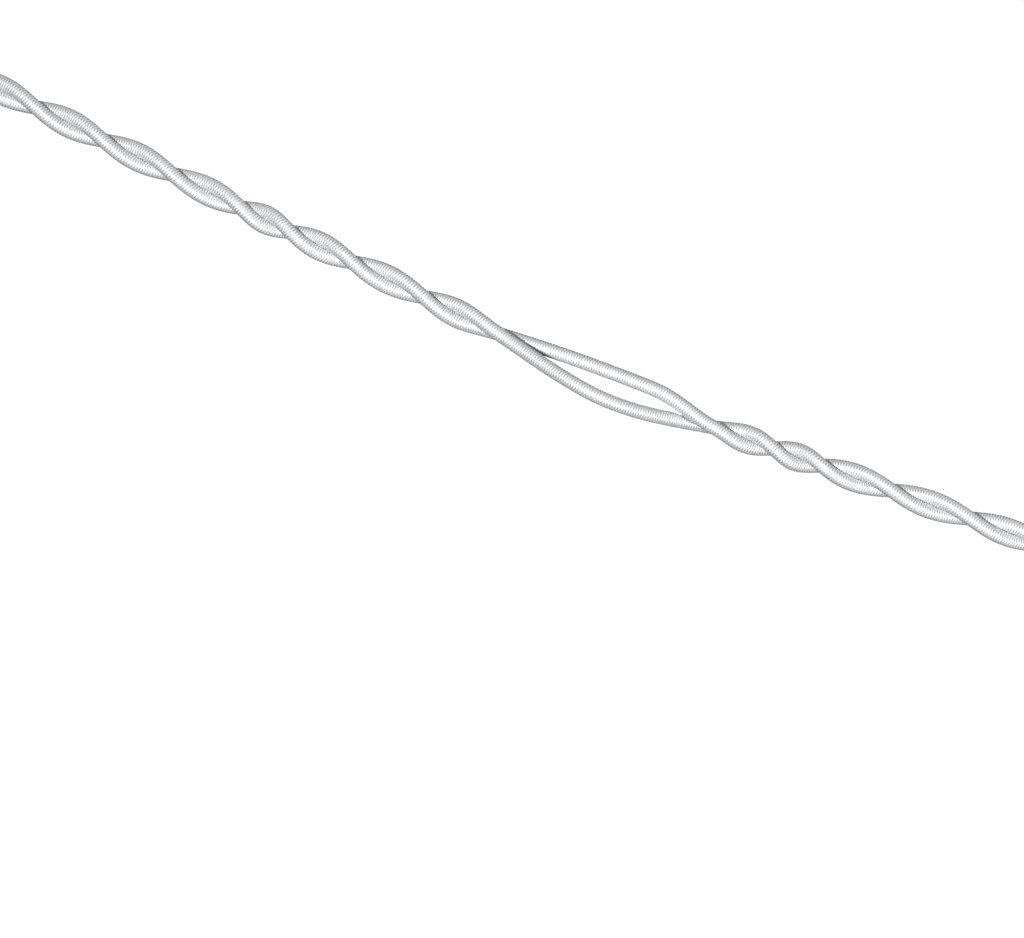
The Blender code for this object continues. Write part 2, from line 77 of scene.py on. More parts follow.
MOUTH_SOFT = 3.0 * MM
HELD_LAY = 9.0 * MM  # beside the open stretch, this much of the lay is cut with the open stretch's pieces
ROUTE_SAMPLES = 12001

# The braid: eight yarns, four laid each way, nearly square to the cord
YARNS_EACH_WAY = 4
ROW = 0.56 * MM  # from one yarn to the next along the cord
BRAID_RELIEF = 0.07 * MM
YARN_ROUNDING = 0.7  # a lower power gives flatter yarns with narrower hollows
LEFT_SET = 0.72  # height of the yarns laid left-handed, where those laid right-handed have 1
OVER_LIFT = 0.55  # how much a yarn rises where it passes over another, and sinks where it passes under
RING_STEP = ROW / 6
RING_SIDES = 40
PRESSED_ROOM = 0.03 * MM  # kept free between the flattened sides of the two cords

# The end pieces, as in the CAD: distances outwards from the cap's mouth
CAP_LENGTH = 22.0 * MM
CAP_RADIUS = 7.0 * MM
CAP_NOSE = 7.0 * MM
CAP_CAVITY = 5.2 * MM
MOUTH_RADIUS = 3.62 * MM
MOUTH_WALL = 1.05 * MM
PLUG_BORE = 5.7 * MM
PLUG_FROM = 15.0 * MM
PLUG_TO = 24.0 * MM
CRIMP_FROM = 4.6 * MM
CRIMP_LENGTH = 6.0 * MM
CRIMP_WALL = 0.9 * MM
CRIMP_DENT = 0.25 * MM
CAP_RIBS = 28
STEM_RADIUS = 1.8 * MM
STEM_HEAD_RADIUS = 3.4 * MM
STEM_HEAD_FROM = 13.1 * MM
STEM_HEAD_TO = 14.7 * MM
COLLAR_RADIUS = 3.7 * MM
COLLAR_FROM = 24.4 * MM
COLLAR_TO = 26.0 * MM
BAR_RADIUS = 2.2 * MM
HOOK_HALF_WIDTH = 7.0 * MM
NEAR_ARC = 34.6 * MM
PIN_AT = 37.3 * MM
FAR_ARC = 49.9 * MM
GATE_RADIUS = 2.3 * MM
GATE_END = 2.4 * MM
GATE_LENGTH = 12.1 * MM
TONGUE = 1.8 * MM
TONGUE_END = 1.9 * MM
TONGUE_REACH = 2.5 * MM
TONGUE_BELOW = 0.6 * MM
PIN_RADIUS = 0.75 * MM
PIN_GAP = 0.12 * MM
SPRING_WIRE = 0.4 * MM
SPRING_RADIUS = 0.85 * MM
SPRING_LENGTH = 5.6 * MM
SPRING_TURNS = 9
RING_TUBE = 1.35 * MM
RING_RADIUS = 4.25 * MM
RING_AT = 57.3 * MM
EYE_RADIUS = 6.6 * MM
EYE_FROM = 62.5 * MM
EYE_HOLLOW_FROM = 64.6 * MM
EYE_LIP_FROM = 67.8 * MM
EYE_TO = 68.8 * MM
CUP_HEAD_RADIUS = 4.2 * MM
CUP_NECK_RADIUS = 2.6 * MM
CUP_HEAD_FROM = 64.9 * MM
CUP_HEAD_TO = 67.5 * MM
CUP_BACK = 69.1 * MM
CUP_RADIUS = 20.0 * MM
CUP_DEPTH = 5.2 * MM
CUP_RIM = 3.0 * MM
CUP_HOLLOW = 1.1 * MM
DISH_BACK = (  # the cup's back from its lip in, as shares of its radius and of its depth
    (0.93, 0.17), (0.85, 0.30), (0.75, 0.44), (0.65, 0.56),
    (0.53, 0.69), (0.42, 0.80), (0.32, 0.89), (0.24, 0.95),
)  # fmt: skip
WALL_AT = 74.3 * MM
GAP = 0.3 * MM
TURNED_SIDES = 128
CAST_GRAIN = 0.14 * MM  # of the even mesh that a cast or moulded piece is given
GATE_GRAIN = 0.10 * MM


# ---------------------------------------------------------------- node trees


class Value:
    """A socket that arithmetic works on. Each operator adds one Math node to the socket's tree."""

    def __init__(self, nodes, socket):
        self.nodes = nodes
        self.socket = socket

    def math(self, operation, *others):
        node = self.nodes.make("ShaderNodeMath", {"operation": operation}, {0: self})
        for i, other in enumerate(others):
            self.nodes.feed(node.inputs[i + 1], other)
        return Value(self.nodes, node.outputs[0])

    def flipped(self, operation, other):
        node = self.nodes.make("ShaderNodeMath", {"operation": operation}, {0: other, 1: self})
        return Value(self.nodes, node.outputs[0])

    def __add__(self, other):
        return self.math("ADD", other)

    __radd__ = __add__

    def __sub__(self, other):
        return self.math("SUBTRACT", other)

    def __rsub__(self, other):
        return self.flipped("SUBTRACT", other)

    def __mul__(self, other):
        return self.math("MULTIPLY", other)

    __rmul__ = __mul__

    def __truediv__(self, other):
        return self.math("DIVIDE", other)

    def __pow__(self, other):
        return self.math("POWER", other)


class Nodes:
    """Adds nodes to one tree."""

    def __init__(self, tree):
        self.tree = tree

    def make(self, kind, settings=None, inputs=None):
        node = self.tree.nodes.new(kind)
        for name, value in (settings or {}).items():
            setattr(node, name, value)
        for name, value in (inputs or {}).items():
            self.feed(node.inputs[name], value)
        return node

    def value(self, kind, settings=None, inputs=None, output=0):
        return Value(self, self.make(kind, settings, inputs).outputs[output])

    def feed(self, socket, value):
        if isinstance(value, Value):
            value = value.socket
        if isinstance(value, bpy.types.NodeSocket):
            self.tree.links.new(value, socket)
        else:
            socket.default_value = value


def geometry_tree(name, inputs):
    """A new geometry tree with a Geometry socket each way and these (name, kind, default) inputs."""
    tree = bpy.data.node_groups.new(name, "GeometryNodeTree")
    face = tree.interface
    face.new_socket(name="Geometry", in_out="INPUT", socket_type="NodeSocketGeometry")
    for label, kind, default in inputs:
        face.new_socket(name=label, in_out="INPUT", socket_type=kind).default_value = default
    face.new_socket(name="Geometry", in_out="OUTPUT", socket_type="NodeSocketGeometry")
    nodes = Nodes(tree)
    given = tree.nodes.new("NodeGroupInput")
    return tree, nodes, {socket.name: Value(nodes, socket) for socket in given.outputs if socket.name}


def finish_tree(nodes, geometry, mat):
    """Ends the tree in real geometry of one material."""
    real = nodes.value("GeometryNodeRealizeInstances", None, {"Geometry": geometry})
    painted = nodes.value("GeometryNodeSetMaterial", None, {"Geometry": real, "Material": mat})
    end = nodes.tree.nodes.new("NodeGroupOutput")
    nodes.feed(end.inputs[0], painted)


def grown(obj, tree, sizes):
    """The mesh that a geometry tree makes of the object, which is then removed."""
    modifier = obj.modifiers.new("grow", "NODES")
    modifier.node_group = tree
    for socket in tree.interface.items_tree:
        if socket.item_type == "SOCKET" and socket.in_out == "INPUT" and socket.name in sizes:
            modifier[socket.identifier] = sizes[socket.name]
    return baked(obj)


def baked(obj):
    """The object's evaluated mesh, in place. The object is then removed."""
    bpy.context.view_layer.update()
    graph = bpy.context.evaluated_depsgraph_get()
    seen = obj.evaluated_get(graph)
    mesh = bpy.data.meshes.new_from_object(seen)
    mesh.transform(obj.matrix_world)
    bpy.data.objects.remove(obj, do_unlink=True)
    return mesh


# ---------------------------------------------------------------- materials


def surface(name):
    """A new material: its nodes, its Principled shader, and its own coordinates."""
    mat = bpy.data.materials.new(name)
    mat.use_nodes = True
    nodes = Nodes(mat.node_tree)
    shader = mat.node_tree.nodes["Principled BSDF"]
    place = nodes.make("ShaderNodeTexCoord").outputs["Object"]
    return mat, nodes, shader, place


def noise(nodes, place, scale, detail=3.0, roughness=0.5):
    inputs = {"Vector": place, "Scale": scale, "Detail": detail, "Roughness": roughness}
    return nodes.value("ShaderNodeTexNoise", None, inputs)


def blended(nodes, factor, first, second):
    """A colour between two colours or colour sockets."""
    inputs = {0: factor, 6: as_colour(first), 7: as_colour(second)}
    return nodes.value("ShaderNodeMix", {"data_type": "RGBA"}, inputs, output=2)


def as_colour(colour):
    return (*colour, 1.0) if isinstance(colour, tuple) else colour


def fitted(nodes, value, low, high, new_low, new_high):
    inputs = {0: value, 1: low, 2: high, 3: new_low, 4: new_high}
    return nodes.value("ShaderNodeMapRange", None, inputs)


def bump(nodes, height, distance, strength):
    inputs = {"Height": height, "Distance": distance, "Strength": strength}
    return nodes.value("ShaderNodeBump", None, inputs)


def braid_material():
    """White polyester yarn: bright crowns, painted shade that greys the hollows between yarns, and fine
    filaments along each yarn.
    """
    mat, nodes, shader, place = surface("white_polyester_braid")
    crown = nodes.value("ShaderNodeAttribute", {"attribute_name": "crown"}, output=2)
    along = nodes.value("ShaderNodeAttribute", {"attribute_name": "along"}, output=2)
    around = nodes.value("ShaderNodeAttribute", {"attribute_name": "around"}, output=2)
    way = nodes.value("ShaderNodeAttribute", {"attribute_name": "way"}, output=2)
    across = around * (2 * YARNS_EACH_WAY) + way * along * (2.0 / ROW)
    filament = (across * (TURN * 2.0)).math("SINE")
    fuzz = noise(nodes, place, 2600.0, 4.0, 0.6)
    patches = noise(nodes, place, 140.0, 2.0)
    # Painted shade: low on the crown, in the hollows between yarns, the white yarn is mixed toward a dark
    # grey (hollow) instead of keeping its own colour.
    depth = fitted(nodes, crown + fuzz * 0.25, 0.22, 0.80, 0.0, 1.0)
    hollow = (0.34, 0.345, 0.355)
    yarn = (0.87, 0.87, 0.86)
    colour = blended(nodes, depth, hollow, yarn)
    toned = blended(nodes, patches * 0.25, colour, (0.80, 0.81, 0.83))
    nodes.feed(shader.inputs["Base Color"], toned)
    nodes.feed(shader.inputs["Roughness"], fitted(nodes, fuzz, 0.3, 0.7, 0.50, 0.70))
    relief = filament * 0.4 + fuzz
    nodes.feed(shader.inputs["Normal"], bump(nodes, relief, 0.02 * MM, 0.6))
    shader.inputs["Metallic"].default_value = 0.46  # the satin gloss of drawn polyester
    return mat


def nylon_material():
    """Moulded white nylon with a fine spark-eroded grain and soft flow marks."""
    mat, nodes, shader, place = surface("moulded_nylon")
    grain = noise(nodes, place, 3200.0, 3.0, 0.6)
    flow = noise(nodes, place, 90.0, 3.0)
    nodes.feed(shader.inputs["Base Color"], blended(nodes, flow, (0.74, 0.745, 0.74), (0.83, 0.83, 0.815)))
    nodes.feed(shader.inputs["Roughness"], fitted(nodes, grain + flow, 0.6, 1.4, 0.30, 0.48))
    nodes.feed(shader.inputs["Normal"], bump(nodes, grain, 0.02 * MM, 0.5))
    shader.inputs["Subsurface Weight"].default_value = 0.15
    shader.inputs["Subsurface Radius"].default_value = (0.004, 0.003, 0.002)
    shader.inputs["Subsurface Scale"].default_value = 0.5
    return mat


def metal_material(name, colour, darker, roughness, scratches=1.0):
    """Plated or drawn metal: fine random scratches, a slow change of gloss and a pitted, duller skin."""
    mat, nodes, shader, place = surface(name)
    stretched = nodes.value("ShaderNodeMapping", None, {"Vector": place, "Scale": (1.0, 14.0, 14.0)})
    lines = noise(nodes, stretched, 260.0, 5.0, 0.7)
    pits = noise(nodes, place, 1500.0, 2.0)
    slow = noise(nodes, place, 120.0, 2.0)
    nodes.feed(shader.inputs["Base Color"], blended(nodes, slow, darker, colour))
    nodes.feed(
        shader.inputs["Roughness"],
        fitted(nodes, lines * 0.6 + pits * 0.4, 0.3, 0.7, roughness * 0.7, roughness * 1.5),
    )
    nodes.feed(shader.inputs["Normal"], bump(nodes, lines + pits * 0.5, 0.012 * MM, 0.45 * scratches))
    shader.inputs["Metallic"].default_value = 1.0
    return mat


def vinyl_material():
    """Soft clear vinyl, faintly blue, with a bloom that dulls it in patches."""
    mat, nodes, shader, place = surface("clear_soft_vinyl")
    bloom = noise(nodes, place, 160.0, 4.0, 0.6)
    nodes.feed(shader.inputs["Base Color"], blended(nodes, bloom, (0.80, 0.88, 0.93), (0.90, 0.94, 0.96)))
    nodes.feed(shader.inputs["Roughness"], fitted(nodes, bloom, 0.35, 0.7, 0.10, 0.26))
    nodes.feed(shader.inputs["Normal"], bump(nodes, bloom, 0.05 * MM, 0.3))
    shader.inputs["Transmission Weight"].default_value = 0.75
    shader.inputs["IOR"].default_value = 1.52
    return mat


def floor_material():
    mat, nodes, shader, place = surface("pale_floor")
    grain = noise(nodes, place, 60.0, 3.0)
    nodes.feed(shader.inputs["Base Color"], blended(nodes, grain, (0.86, 0.86, 0.855), (0.89, 0.89, 0.885)))
    shader.inputs["Roughness"].default_value = 0.8
    shader.inputs["Emission Color"].default_value = (1.0, 1.0, 1.0, 1.0)
    shader.inputs["Emission Strength"].default_value = 0.55
    return mat


BRAID = braid_material()
NYLON = nylon_material()
NICKEL = metal_material("nickel_plate", (0.78, 0.77, 0.74), (0.66, 0.65, 0.62), 0.20)
ALUMINIUM = metal_material("soft_aluminium", (0.84, 0.85, 0.86), (0.74, 0.75, 0.76), 0.34, 1.6)
STEEL = metal_material("drawn_steel", (0.62, 0.63, 0.64), (0.50, 0.51, 0.52), 0.26)
VINYL = vinyl_material()


# ---------------------------------------------------------------- camera and light

VIEW_CENTRE = Vector((12.5 * MM, 0.0, -30.3 * MM))
VIEW_WIDTH = 208.9 * MM
VIEW_ROLL = math.radians(23.52)  # the line runs down to the right
LENS = 100.0
SENSOR = 36.0
BACKDROP_STRENGTH = 1.05
FILL_STRENGTH = 0.20
FLOOR_LENGTH = 0.9
FLOOR_DEPTH = 0.34
FLOOR_FORWARD = 0.02
FLOOR_HEIGHT = -0.50


def aim(obj, place, target, up=(0, 0, 1)):
    back = (Vector(place) - Vector(target)).normalized()
    right = Vector(up).cross(back).normalized()
    turn = Matrix((right, back.cross(right), back)).transposed().to_4x4()
    obj.matrix_world = Matrix.Translation(place) @ turn


def make_camera():
    lens = bpy.data.cameras.new("camera")
    lens.lens = LENS
    lens.sensor_width = SENSOR
    lens.clip_start = 0.01
    camera = bpy.data.objects.new("camera", lens)
    bpy.context.scene.collection.objects.link(camera)
    away = VIEW_WIDTH * LENS / SENSOR
    up = (-math.sin(VIEW_ROLL), 0.0, math.cos(VIEW_ROLL))
    aim(camera, VIEW_CENTRE + Vector((0, -away, 0)), VIEW_CENTRE, up)
    bpy.context.scene.camera = camera


def make_light(name, place, size, power, colour=(1, 1, 1), target=(0, 0, 0)):
    light = bpy.data.lights.new(name, "AREA")
    light.shape = "RECTANGLE"
    light.size = size[0]
    light.size_y = size[1]
    light.energy = power
    light.color = colour
    lamp = bpy.data.objects.new(name, light)
    bpy.context.scene.collection.objects.link(lamp)
    aim(lamp, place, target)
    lamp.visible_camera = False


def make_world():
    """White behind everything, and on the object itself a dim light that fades from above to below."""
    world = bpy.data.worlds.new("studio")
    bpy.context.scene.world = world
    world.use_nodes = True
    nodes = Nodes(world.node_tree)
    for node in list(world.node_tree.nodes):
        world.node_tree.nodes.remove(node)
    rays = nodes.make("ShaderNodeLightPath").outputs
    seen = Value(nodes, rays["Is Camera Ray"]) + Value(nodes, rays["Is Transmission Ray"])
    white = {"Color": (1, 1, 1, 1), "Strength": BACKDROP_STRENGTH}
    backdrop = nodes.make("ShaderNodeBackground", None, white).outputs[0]
    way = nodes.make("ShaderNodeTexCoord").outputs["Generated"]
    up = nodes.value("ShaderNodeSeparateXYZ", None, {0: way}, output=2)
    strength = fitted(nodes, up, -0.2, 0.7, 0.0, FILL_STRENGTH)
    cool = {"Color": (0.97, 0.985, 1, 1), "Strength": strength}
    fill = nodes.make("ShaderNodeBackground", None, cool).outputs[0]
    both = nodes.make("ShaderNodeMixShader", None, {0: seen, 1: fill, 2: backdrop}).outputs[0]
    nodes.make("ShaderNodeOutputWorld", None, {"Surface": both})


def make_stage():
    """A pale floor well below the line, which is seen but casts no light back."""
    mesh = bpy.data.meshes.new("floor")
    form = bmesh.new()
    bmesh.ops.create_grid(form, x_segments=1, y_segments=1, size=0.5)
    for vert in form.verts:
        vert.co = (vert.co.x * FLOOR_LENGTH, vert.co.y * FLOOR_DEPTH - FLOOR_FORWARD, FLOOR_HEIGHT)
    form.to_mesh(mesh)
    form.free()
    floor = bpy.data.objects.new("floor", mesh)
    bpy.context.scene.collection.objects.link(floor)
    floor.data.materials.append(floor_material())
    floor.visible_diffuse = False
    floor.visible_glossy = False


make_camera()
make_world()
bpy.context.scene.view_settings.view_transform = "Standard"
make_light("key", (0.11, -0.95, -0.22), (0.10, 0.10), 13.0, (0.985, 0.987, 1.0))
make_light("above", (-0.2, 0.3, 0.7), (0.6, 0.4), 0.4)
make_light("left_side", (-0.75, -0.25, 0.15), (0.35, 0.35), 0.8, target=(-0.17, 0, 0))
make_light("right_side", (0.75, -0.25, 0.15), (0.35, 0.35), 0.8, target=(0.17, 0, 0))
make_light("behind", (0.0, 0.95, 0.12), (0.5, 0.3), 7.0)


# ---------------------------------------------------------------- the two cords


def ramp(past, soft):
    """0 before a knee and the distance past it after, with the corner rounded over soft to either side."""
    inside = (past + soft) ** 2 / (4 * soft)
    return np.where(past <= -soft, 0.0, np.where(past >= soft, past, inside))


def axis_height(x):
    """Height of the axis of the lay, which dips from either mouth to one place."""
    knee = HALF_LINE - STRAIGHT_AT_MOUTH
    dip = DIP_SHARE * HALF_LINE
    fall = DIP_DEPTH / (dip + knee)
    rise = DIP_DEPTH / (knee - dip)
    middle = (fall + rise) * ramp(x - dip, DIP_SOFT)
    return middle - fall * ramp(x + knee, MOUTH_SOFT) - rise * ramp(x - knee, MOUTH_SOFT)


def twist(x):
    """Angle of cord A about the axis: a smooth curve through the crossings that never turns back."""
    straight = HALF_LINE - STRAIGHT_AT_MOUTH
    places = np.array([-straight, *(share * HALF_LINE for share in CROSSINGS), straight])
    half_turns = -CROSSINGS.index(OPEN_AFTER)
    angles = math.pi * (np.arange(len(places)) + half_turns)
    rates = np.diff(angles) / np.diff(places)
    slopes = np.concatenate([[0.0], 2 * rates[:-1] * rates[1:] / (rates[:-1] + rates[1:]), [0.0]])
    x = np.clip(x, places[0], places[-1])
    i = np.clip(np.searchsorted(places, x, side="right") - 1, 0, len(places) - 2)
    width = places[i + 1] - places[i]
    t = (x - places[i]) / width
    return (
        angles[i] * (1 + 2 * t) * (1 - t) ** 2
        + slopes[i] * width * t * (1 - t) ** 2
        + angles[i + 1] * t * t * (3 - 2 * t)
        + slopes[i + 1] * width * t * t * (t - 1)
    )


def parting(x, peak):
    """0 at both ends of the open stretch and 1 at its peak, a share of the stretch."""
    share = (x / HALF_LINE - OPEN_AFTER) / (OPEN_BEFORE - OPEN_AFTER)
    t = np.clip(np.minimum(share / peak, (1 - share) / (1 - peak)), 0, 1)
    return t * t * (3 - 2 * t)


def cord_route(side):
    """Points of cord A (side 1) or cord B (side -1), RING_STEP apart along the cord."""
    inside = HALF_LINE + CORD_IN_CAP
    x = np.linspace(-inside, inside, ROUTE_SAMPLES)
    turn = twist(x)
    y = side * LAY_RADIUS * np.cos(turn)
    z = axis_height(x) + side * LAY_RADIUS * np.sin(turn)
    if side > 0:
        parted = parting(x, PARTED_AT)
        y -= parted * PARTED_FORWARD
        z -= parted * PARTED_DOWN
    else:
        z += parting(x, RAISED_AT) * RAISED
    route = np.stack([x, y, z], axis=1)
    run = np.concatenate([[0.0], np.cumsum(np.linalg.norm(np.diff(route, axis=0), axis=1))])
    places = np.linspace(0.0, run[-1], round(run[-1] / RING_STEP) + 1)
    return np.stack([np.interp(places, run, route[:, k]) for k in range(3)], axis=1)


def braid_tree():
    """A curve becomes a braided tube. Each yarn stands proud where it passes over one that crosses it."""
    sizes = [
        ("Radius", "NodeSocketFloat", CORD_DIAMETER / 2),
        ("Sides", "NodeSocketInt", RING_SIDES),
        ("Yarns", "NodeSocketInt", YARNS_EACH_WAY),
        ("Row", "NodeSocketFloat", ROW),
        ("Relief", "NodeSocketFloat", BRAID_RELIEF),
    ]
    tree, nodes, given = geometry_tree("braided_cord", sizes)

    def stored(geometry, name, value):
        settings = {"data_type": "FLOAT", "domain": "POINT"}
        inputs = {"Geometry": geometry, "Name": name, "Value": value}
        return nodes.value("GeometryNodeStoreNamedAttribute", settings, inputs)

    def named(name):
        return nodes.value("GeometryNodeInputNamedAttribute", {"data_type": "FLOAT"}, {"Name": name})

    length = nodes.value("GeometryNodeSplineParameter", output=1)
    share = nodes.value("GeometryNodeSplineParameter", output=0)
    route = stored(given["Geometry"], "along", length)
    circle = {"Resolution": given["Sides"], "Radius": given["Radius"] - given["Relief"]}
    ring = nodes.value("GeometryNodeCurvePrimitiveCircle", None, circle)
    profile = stored(ring, "around", share)
    inputs = {"Curve": route, "Profile Curve": profile}
    tube = nodes.value("GeometryNodeCurveToMesh", None, inputs)
    half_around = named("around") * given["Yarns"] * math.pi
    half_along = named("along") / given["Row"] * math.pi
    right_hand = (half_around + half_along).math("COSINE")
    left_hand = (half_around - half_along).math("COSINE")
    over = right_hand * left_hand
    first = right_hand.math("ABSOLUTE") ** YARN_ROUNDING + over * OVER_LIFT
    second = left_hand.math("ABSOLUTE") ** YARN_ROUNDING * LEFT_SET - over * OVER_LIFT
    height = first.math("SMOOTH_MAX", second, 0.12)
    crown = fitted(nodes, height, 0.35, 1.45, 0.0, 1.0)
    way = (first - second).math("SIGN")
    normal = nodes.value("GeometryNodeInputNormal")
    inputs = {0: normal, "Scale": crown * given["Relief"]}
    offset = nodes.value("ShaderNodeVectorMath", {"operation": "SCALE"}, inputs)
    raised = nodes.value("GeometryNodeSetPosition", None, {"Geometry": tube, "Offset": offset})
    marked = stored(stored(raised, "crown", crown), "way", way)
    smooth = nodes.value("GeometryNodeSetShadeSmooth", None, {"Geometry": marked})
    finish_tree(nodes, smooth, BRAID)
    return tree


def braided(name, route, tree):
    """The whole braided cord as points in rings, with the attributes that its material reads."""
    curve = bpy.data.curves.new(name, "CURVE")
    curve.dimensions = "3D"
    spline = curve.splines.new("POLY")
    spline.points.add(len(route) - 1)
    spline.points.foreach_set("co", np.column_stack([route, np.ones(len(route))]).ravel())
    guide = bpy.data.objects.new(name, curve)
    bpy.context.scene.collection.objects.link(guide)
    return grown(guide, tree, {})


def values_of(mesh, name, kind="value", width=1):
    data = mesh.attributes[name].data
    found = np.empty(len(data) * width, np.float32)
    data.foreach_get(kind, found)
    return found.reshape(-1, width) if width > 1 else found


def pressed(points, route):
    """The cord's rings, flattened where they would pass the plane between the two cords."""
    axis = np.stack([route[:, 0], 0 * route[:, 0], axis_height(route[:, 0])], axis=1)
    inward = axis - route
    room = np.linalg.norm(inward, axis=1)
    inward = inward / room[:, None]
    reach = np.einsum("rsk,rk->rs", points - route[:, None], inward)
    past = ramp(reach - (room[:, None] - PRESSED_ROOM), 2 * PRESSED_ROOM)
    return points - past[..., None] * inward[:, None]


def ring_faces(rings, sides, loop):
    """Quads between rings of points, and from the last ring back to the first one in a loop."""
    count = rings if loop else rings - 1
    ring, side = np.meshgrid(np.arange(count), np.arange(sides), indexing="ij")
    after = (side + 1) % sides
    below = (ring + 1) % rings
    corners = (ring * sides + side, ring * sides + after, below * sides + after, below * sides + side)
    return np.stack(corners, axis=-1).reshape(-1, 4).tolist()


def stretch_of_cord(name, whole, route, first, last):
    """Rings first to last of a whole cord as one piece, closed at both ends."""
    sides = RING_SIDES
    grid = values_of(whole, "position", "vector", 3).reshape(-1, sides, 3)
    points = pressed(grid, route)[first : last + 1]
    rings = len(points)
    ends = [list(range(sides)), list(range((rings - 1) * sides, rings * sides))]
    mesh = bpy.data.meshes.new(name)
    mesh.from_pydata(points.reshape(-1, 3).tolist(), [], ring_faces(rings, sides, False) + ends)
    for label in ("crown", "along", "around", "way"):
        values = values_of(whole, label).reshape(-1, sides)[first : last + 1]
        mesh.attributes.new(label, "FLOAT", "POINT").data.foreach_set("value", values.ravel())
    outwards(mesh)
    return shown(name, mesh, BRAID)


def outwards(mesh):
    """Turns every face of a closed mesh outwards."""
    form = bmesh.new()
    form.from_mesh(mesh)
    bmesh.ops.recalc_face_normals(form, faces=form.faces)
    form.to_mesh(mesh)
    form.free()


def shown(name, mesh, mat):
    """A mesh as a piece of the object, with smooth shading over gentle edges."""
    mesh.materials.clear()
    mesh.materials.append(mat)
    mesh.polygons.foreach_set("use_smooth", np.ones(len(mesh.polygons), bool))
    mesh.set_sharp_from_angle(angle=math.radians(40))
    mesh.name = name
    piece = bpy.data.objects.new(name, mesh)
    bpy.context.scene.collection.objects.link(piece)
    return piece


def make_cord(letter, side, tree):
    """One cord in stretches. The open stretch of cord B goes with the line, and every other stretch is left
    in place with its transform applied.
    """
    route = cord_route(side)
    whole = braided(f"cord_{letter}", route, tree)
    start = OPEN_AFTER * HALF_LINE
    stop = OPEN_BEFORE * HALF_LINE
    middle = (start + stop) / 2
    mouth = HALF_LINE
    left = ("left", -1.0, start - HELD_LAY, ("left_end", "line"), -mouth, start - HELD_LAY)
    right = ("right", stop + HELD_LAY, 1.0, ("line", "right_end"), stop + HELD_LAY, mouth)
    if side > 0:
        plan = [
            left,
            ("open_left", start - HELD_LAY, middle, ("line", "cord_a"), start, middle),
            ("open_right", middle, stop + HELD_LAY, ("cord_a", "line"), middle, stop),
            right,
        ]
    else:
        plan = [left, ("open", start - HELD_LAY, stop + HELD_LAY, None, start, stop), right]
    for part, low, high, bodies, bend_from, bend_to in plan:
        first = int(np.searchsorted(route[:, 0], low))
        last = min(int(np.searchsorted(route[:, 0], high)), len(route) - 1)
        name = f"cord_{letter}_{part}"
        piece = stretch_of_cord(name, whole, route, first, last)
        if bodies:
            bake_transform(piece)
        else:
            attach(piece, "line")
        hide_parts(f"cord_{letter}_sheath", f"cord_{letter}_core")


# ---------------------------------------------------------------- shapes of the end pieces


def softened(profile, radius, steps=4):
    """A profile with rounded corners. One from axis to axis keeps its two ends, and any other is a loop."""
    points = [np.array(point) for point in profile]
    loop = profile[0][0] > 0
    made = []
    for i, corner in enumerate(points):
        if not loop and i in (0, len(points) - 1):
            made.append(corner)
            continue
        before = points[i - 1] - corner
        after = points[(i + 1) % len(points)] - corner
        lengths = np.linalg.norm(before), np.linalg.norm(after)
        reach = min(radius, 0.45 * lengths[0], 0.45 * lengths[1])
        start = corner + before / lengths[0] * reach
        stop = corner + after / lengths[1] * reach
        for t in np.linspace(0, 1, steps + 1):
            made.append((1 - t) ** 2 * start + 2 * t * (1 - t) * corner + t * t * stop)
    return made


def spaced(profile, step):
    """The same loop with a point at least every step."""
    made = []
    for a, b in zip(profile, [*profile[1:], profile[0]]):
        count = max(1, math.ceil(float(np.linalg.norm(b - a)) / step))
        made += [a + (b - a) * i / count for i in range(count)]
    return made


def made_mesh(name, points, faces):
    mesh = bpy.data.meshes.new(name)
    mesh.from_pydata([tuple(point) for point in points], [], faces)
    outwards(mesh)
    return mesh


def revolved(name, profile, sides=TURNED_SIDES):
    """A solid turned about X from points of (radius, distance outwards)."""
    points = np.array(profile)
    loop = points[0, 0] > 0
    rings = points if loop else points[1:-1]
    turn = TURN * np.arange(sides) / sides
    x = np.repeat(rings[:, 1], sides)
    y = np.outer(rings[:, 0], np.cos(turn)).ravel()
    z = np.outer(rings[:, 0], np.sin(turn)).ravel()
    verts = np.stack([x, y, z], axis=1).tolist()
    faces = ring_faces(len(rings), sides, loop)
    if not loop:
        for pole, first in ((points[0], 0), (points[-1], (len(rings) - 1) * sides)):
            verts.append((pole[1], 0.0, 0.0))
            faces += [[first + i, first + (i + 1) % sides, len(verts) - 1] for i in range(sides)]
    return made_mesh(name, verts, faces)


def swept(name, route, radius, sides=32):
    """A round bar along points of (distance outwards, height), flat at both ends."""
    route = np.array(route)
    ahead = np.gradient(route, axis=0)
    ahead /= np.linalg.norm(ahead, axis=1)[:, None]
    turn = TURN * np.arange(sides) / sides
    across = np.stack([-ahead[:, 1], ahead[:, 0]], axis=1)
    x = route[:, :1] + radius * np.outer(across[:, 0], np.cos(turn))
    y = radius * np.tile(np.sin(turn), (len(route), 1))
    z = route[:, 1:] + radius * np.outer(across[:, 1], np.cos(turn))
    verts = np.stack([x, y, z], axis=-1).reshape(-1, 3)
    last = (len(route) - 1) * sides
    ends = [list(range(sides)), list(range(last, last + sides))]
    return made_mesh(name, verts, ring_faces(len(route), sides, False) + ends)


def slab(name, outline, thickness):
    """An outline of (distance outwards, height), with half the thickness to either side."""
    count = len(outline)
    verts = [(x, y, z) for y in (-thickness / 2, thickness / 2) for x, z in outline]
    faces = [list(range(count)), list(range(count, 2 * count))]
    faces += [[i, (i + 1) % count, count + (i + 1) % count, count + i] for i in range(count)]
    return made_mesh(name, verts, faces)


def block(name, low, high):
    """A box between two opposite corners, which lie as far to either side of the XZ plane."""
    outline = [(low[0], low[2]), (high[0], low[2]), (high[0], high[2]), (low[0], high[2])]
    return slab(name, outline, high[1] - low[1])


def crosswise(name, radius, length, x, z):
    """A rod along Y."""
    turn = [TURN * i / 40 for i in range(40)]
    return slab(name, [(x + radius * math.cos(a), z + radius * math.sin(a)) for a in turn], length)


